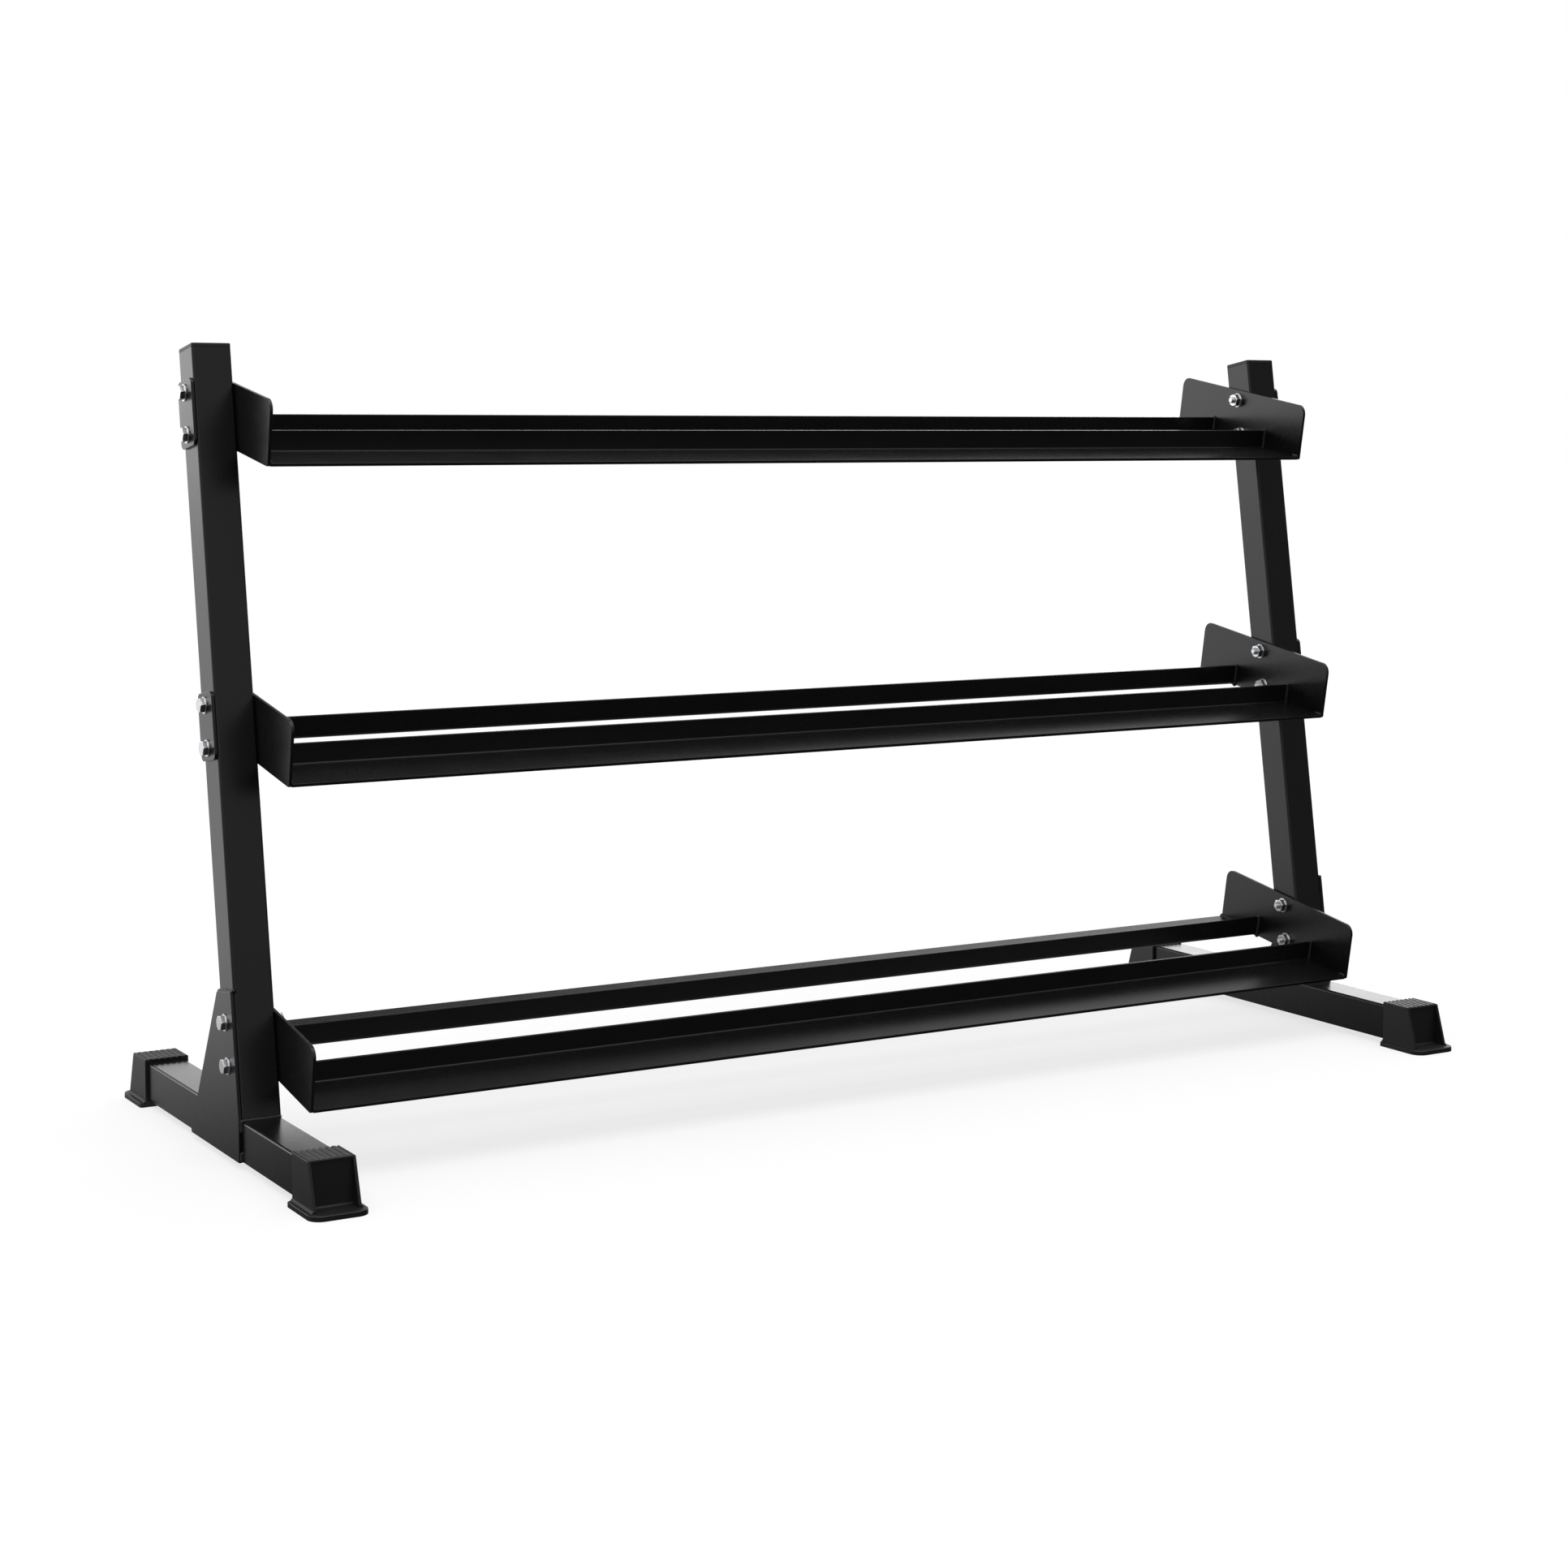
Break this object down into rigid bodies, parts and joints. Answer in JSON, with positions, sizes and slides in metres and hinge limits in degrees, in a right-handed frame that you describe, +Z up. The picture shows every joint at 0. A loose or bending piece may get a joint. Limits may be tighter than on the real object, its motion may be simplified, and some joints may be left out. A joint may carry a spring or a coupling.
{
  "type": "dumbbell rack",
  "caption": "Free-standing three-tier dumbbell rack: leaning square-tube side frames on rubber-booted feet, with bolted tilted shelves made of paired steel angles.",
  "frame": {"origin": "on the floor, in the middle of the rack's footprint", "axes": "+X to the right along the shelves as seen from the front, -Y towards the user (the low edge of the shelves), +Z up"},
  "size_m": [1.7248, 0.697, 0.9882],
  "materials": {
    "frame_powder_coat": "satin black powder coat with a fine texture",
    "shelf_powder_coat": "satin black powder coat with a fine texture",
    "cap_plastic": "moulded black plastic",
    "boot_rubber": "moulded black rubber",
    "zinc_fasteners": "bright zinc plate"
  },
  "bodies": {
    "root": {"left_foot_tube": "frame_powder_coat", "left_upright_tube": "frame_powder_coat", "left_gusset_plate": "frame_powder_coat", "left_top_cap": "cap_plastic", "left_front_foot_boot": "boot_rubber", "left_rear_foot_boot": "boot_rubber", "right_foot_tube": "frame_powder_coat", "right_upright_tube": "frame_powder_coat", "right_gusset_plate": "frame_powder_coat", "right_top_cap": "cap_plastic", "right_front_foot_boot": "boot_rubber", "right_rear_foot_boot": "boot_rubber", "bottom_shelf_front_rail": "shelf_powder_coat", "bottom_shelf_rear_rail": "shelf_powder_coat", "bottom_shelf_left_end_plate": "shelf_powder_coat", "bottom_shelf_right_end_plate": "shelf_powder_coat", "middle_shelf_front_rail": "shelf_powder_coat", "middle_shelf_rear_rail": "shelf_powder_coat", "middle_shelf_left_end_plate": "shelf_powder_coat", "middle_left_backing_plate": "frame_powder_coat", "middle_shelf_right_end_plate": "shelf_powder_coat", "middle_right_backing_plate": "frame_powder_coat", "top_shelf_front_rail": "shelf_powder_coat", "top_shelf_rear_rail": "shelf_powder_coat", "top_shelf_left_end_plate": "shelf_powder_coat", "top_left_backing_plate": "frame_powder_coat", "top_shelf_right_end_plate": "shelf_powder_coat", "top_right_backing_plate": "frame_powder_coat", "hex_bolts": "zinc_fasteners", "hex_nuts": "zinc_fasteners", "flat_washers": "zinc_fasteners"}
  },
  "joints": []
}
